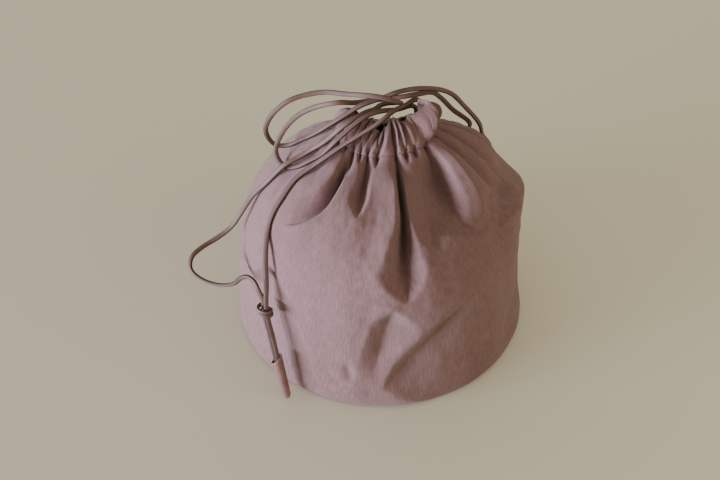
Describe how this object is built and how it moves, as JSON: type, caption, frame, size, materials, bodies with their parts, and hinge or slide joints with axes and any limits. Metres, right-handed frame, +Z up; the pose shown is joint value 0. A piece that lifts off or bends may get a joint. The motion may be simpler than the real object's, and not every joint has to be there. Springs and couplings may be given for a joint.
{
  "type": "drawstring pouch",
  "caption": "Soft drawstring pouch with a round flat base, a gathered casing at the mouth, a looped round drawstring, a slide knot and a rolled leather cord end.",
  "frame": {"origin": "centre of the round base, on the surface it stands on", "axes": "+Z up through the gathered mouth, -Y towards the front where the deep centre fold is, +X to the front's right"},
  "size_m": [0.2031, 0.1831, 0.1627],
  "materials": {
    "cloth": "dusky mauve plain-weave cotton, dry and slightly creased",
    "cord": "brown-mauve round waxed cord, fine lengthwise ribs",
    "leather": "rolled smooth leather, satin"
  },
  "bodies": {
    "root": {"pouch_wall": "cloth", "base_panel": "cloth", "casing": "cloth", "drawstring_long": "cord", "drawstring_short": "cord", "slide_knot": "cord", "cord_end_tag": "leather"}
  },
  "joints": []
}
